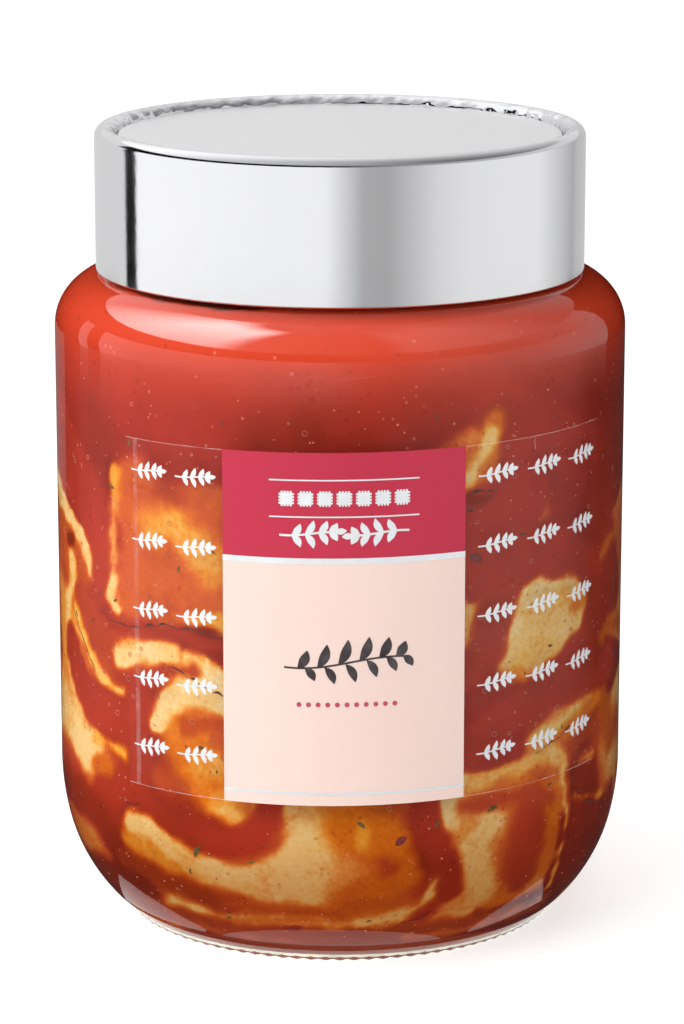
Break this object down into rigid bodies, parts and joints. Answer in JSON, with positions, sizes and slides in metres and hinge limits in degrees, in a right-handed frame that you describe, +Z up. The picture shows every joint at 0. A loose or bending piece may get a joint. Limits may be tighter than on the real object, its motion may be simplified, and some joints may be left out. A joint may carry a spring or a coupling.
{
  "type": "jar of ravioli",
  "caption": "Sealed clear glass jar of square ravioli in tomato sauce, with rounded shoulders, a deep silver lid and a film label with a cream and raspberry panel.",
  "frame": {"origin": "centre of the jar's base, on the plane of the ring it stands on", "axes": "+Z up along the jar's axis, -Y out through the middle of the label, +X to the right as the label is read"},
  "size_m": [0.1, 0.1006, 0.1398],
  "materials": {
    "clear_glass": "clear, smooth, faintly green in the thick base",
    "silver_foil": "bright silver foil, a little crinkled on the rolled rim",
    "silver_satin": "satin silver",
    "raspberry_print": "printed film, soft gloss",
    "cream_print": "printed film, soft gloss",
    "clear_film": "clear film with small silver motifs",
    "pasta_in_sauce": "moist pasta with orange-red tomato sauce"
  },
  "bodies": {
    "root": {"jar_glass": "clear_glass", "lid_shell": "silver_foil", "lid_disc": "silver_satin", "label_band": "raspberry_print", "label_panel": "cream_print", "label_film_left": "clear_film", "label_film_right": "clear_film", "ravioli_heap": "pasta_in_sauce"}
  },
  "joints": []
}
